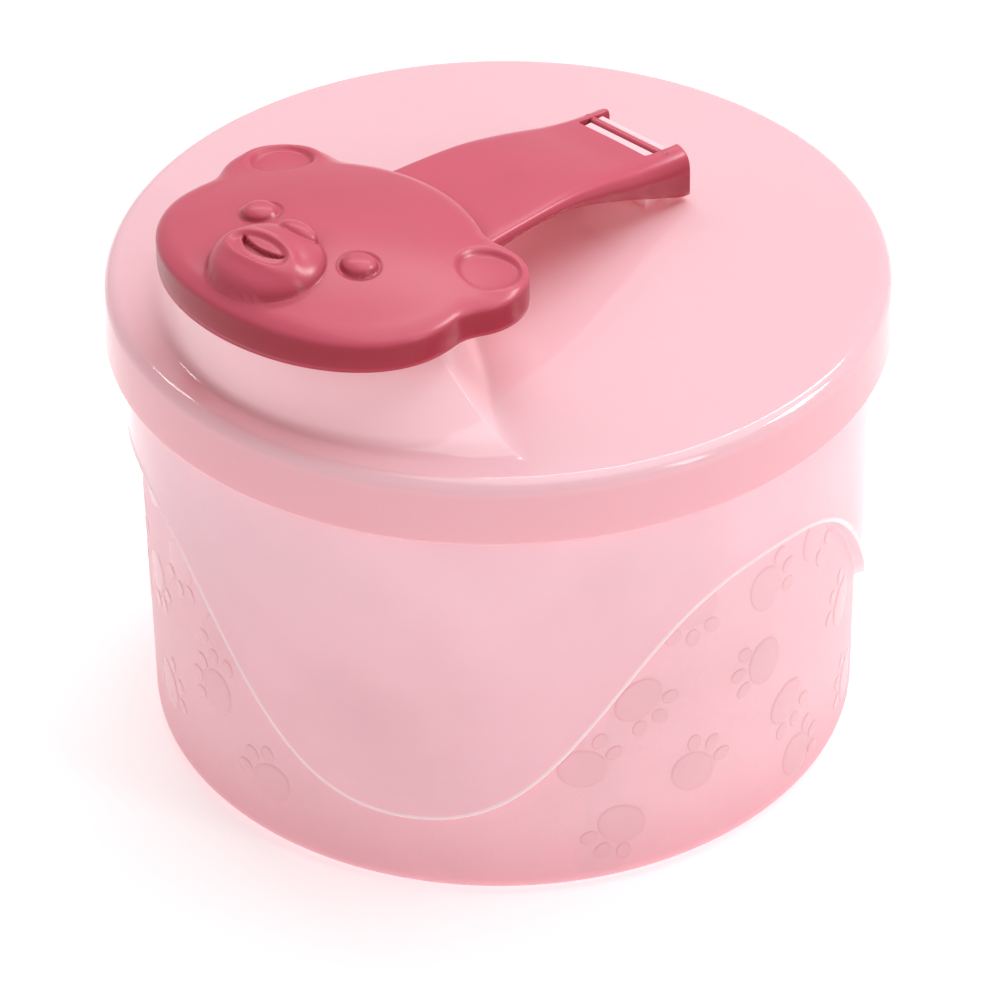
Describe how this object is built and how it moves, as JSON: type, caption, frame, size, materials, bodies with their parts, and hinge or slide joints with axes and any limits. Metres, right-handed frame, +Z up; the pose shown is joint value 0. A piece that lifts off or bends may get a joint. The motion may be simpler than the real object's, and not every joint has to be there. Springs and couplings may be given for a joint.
{
  "type": "baby formula dispenser",
  "caption": "Round powder pot with radial compartments, a press-fit turning lid, a raised pouring funnel and a bear-face flip cap on a clip hinge.",
  "frame": {"origin": "centre of the pot's base, on the plane it stands on", "axes": "+Z up along the pot's axis, -Y towards the spout and the cap's chin, +Y towards the cap's hinge"},
  "size_m": [0.1106, 0.1106, 0.0959],
  "materials": {
    "pot_plastic": "translucent pale pink polypropylene, polished upper band over a frosted lower wall",
    "divider_plastic": "translucent pale pink polypropylene, satin",
    "seal_silicone": "milky silicone, matt",
    "lid_plastic": "opaque light pink polypropylene, glossy",
    "cap_plastic": "opaque dusty rose polypropylene, fine satin texture"
  },
  "bodies": {
    "pot": {"pot": "pot_plastic"},
    "divider": {"divider": "divider_plastic"},
    "lid_seal": {"lid_seal": "seal_silicone"},
    "lid": {"lid": "lid_plastic"},
    "flip_cap": {"flip_cap": "cap_plastic"}
  },
  "joints": [
    {"name": "divider_lift", "type": "slide", "parent": "pot", "child": "divider", "axis": [0, 0, 1], "range_m": [0, 0.075]},
    {"name": "lid_lift", "type": "slide", "parent": "divider", "child": "lid_seal", "axis": [0, 0, 1], "range_m": [0, 0.04]},
    {"name": "lid_turn", "type": "hinge", "parent": "lid_seal", "child": "lid", "pos_m": [0, 0, 0.073], "axis": [0, 0, 1], "continuous": true},
    {"name": "cap_flip", "type": "hinge", "parent": "lid", "child": "flip_cap", "pos_m": [0, 0.026, 0.0808], "axis": [-1, 0, 0], "range_deg": [0, 150]}
  ]
}
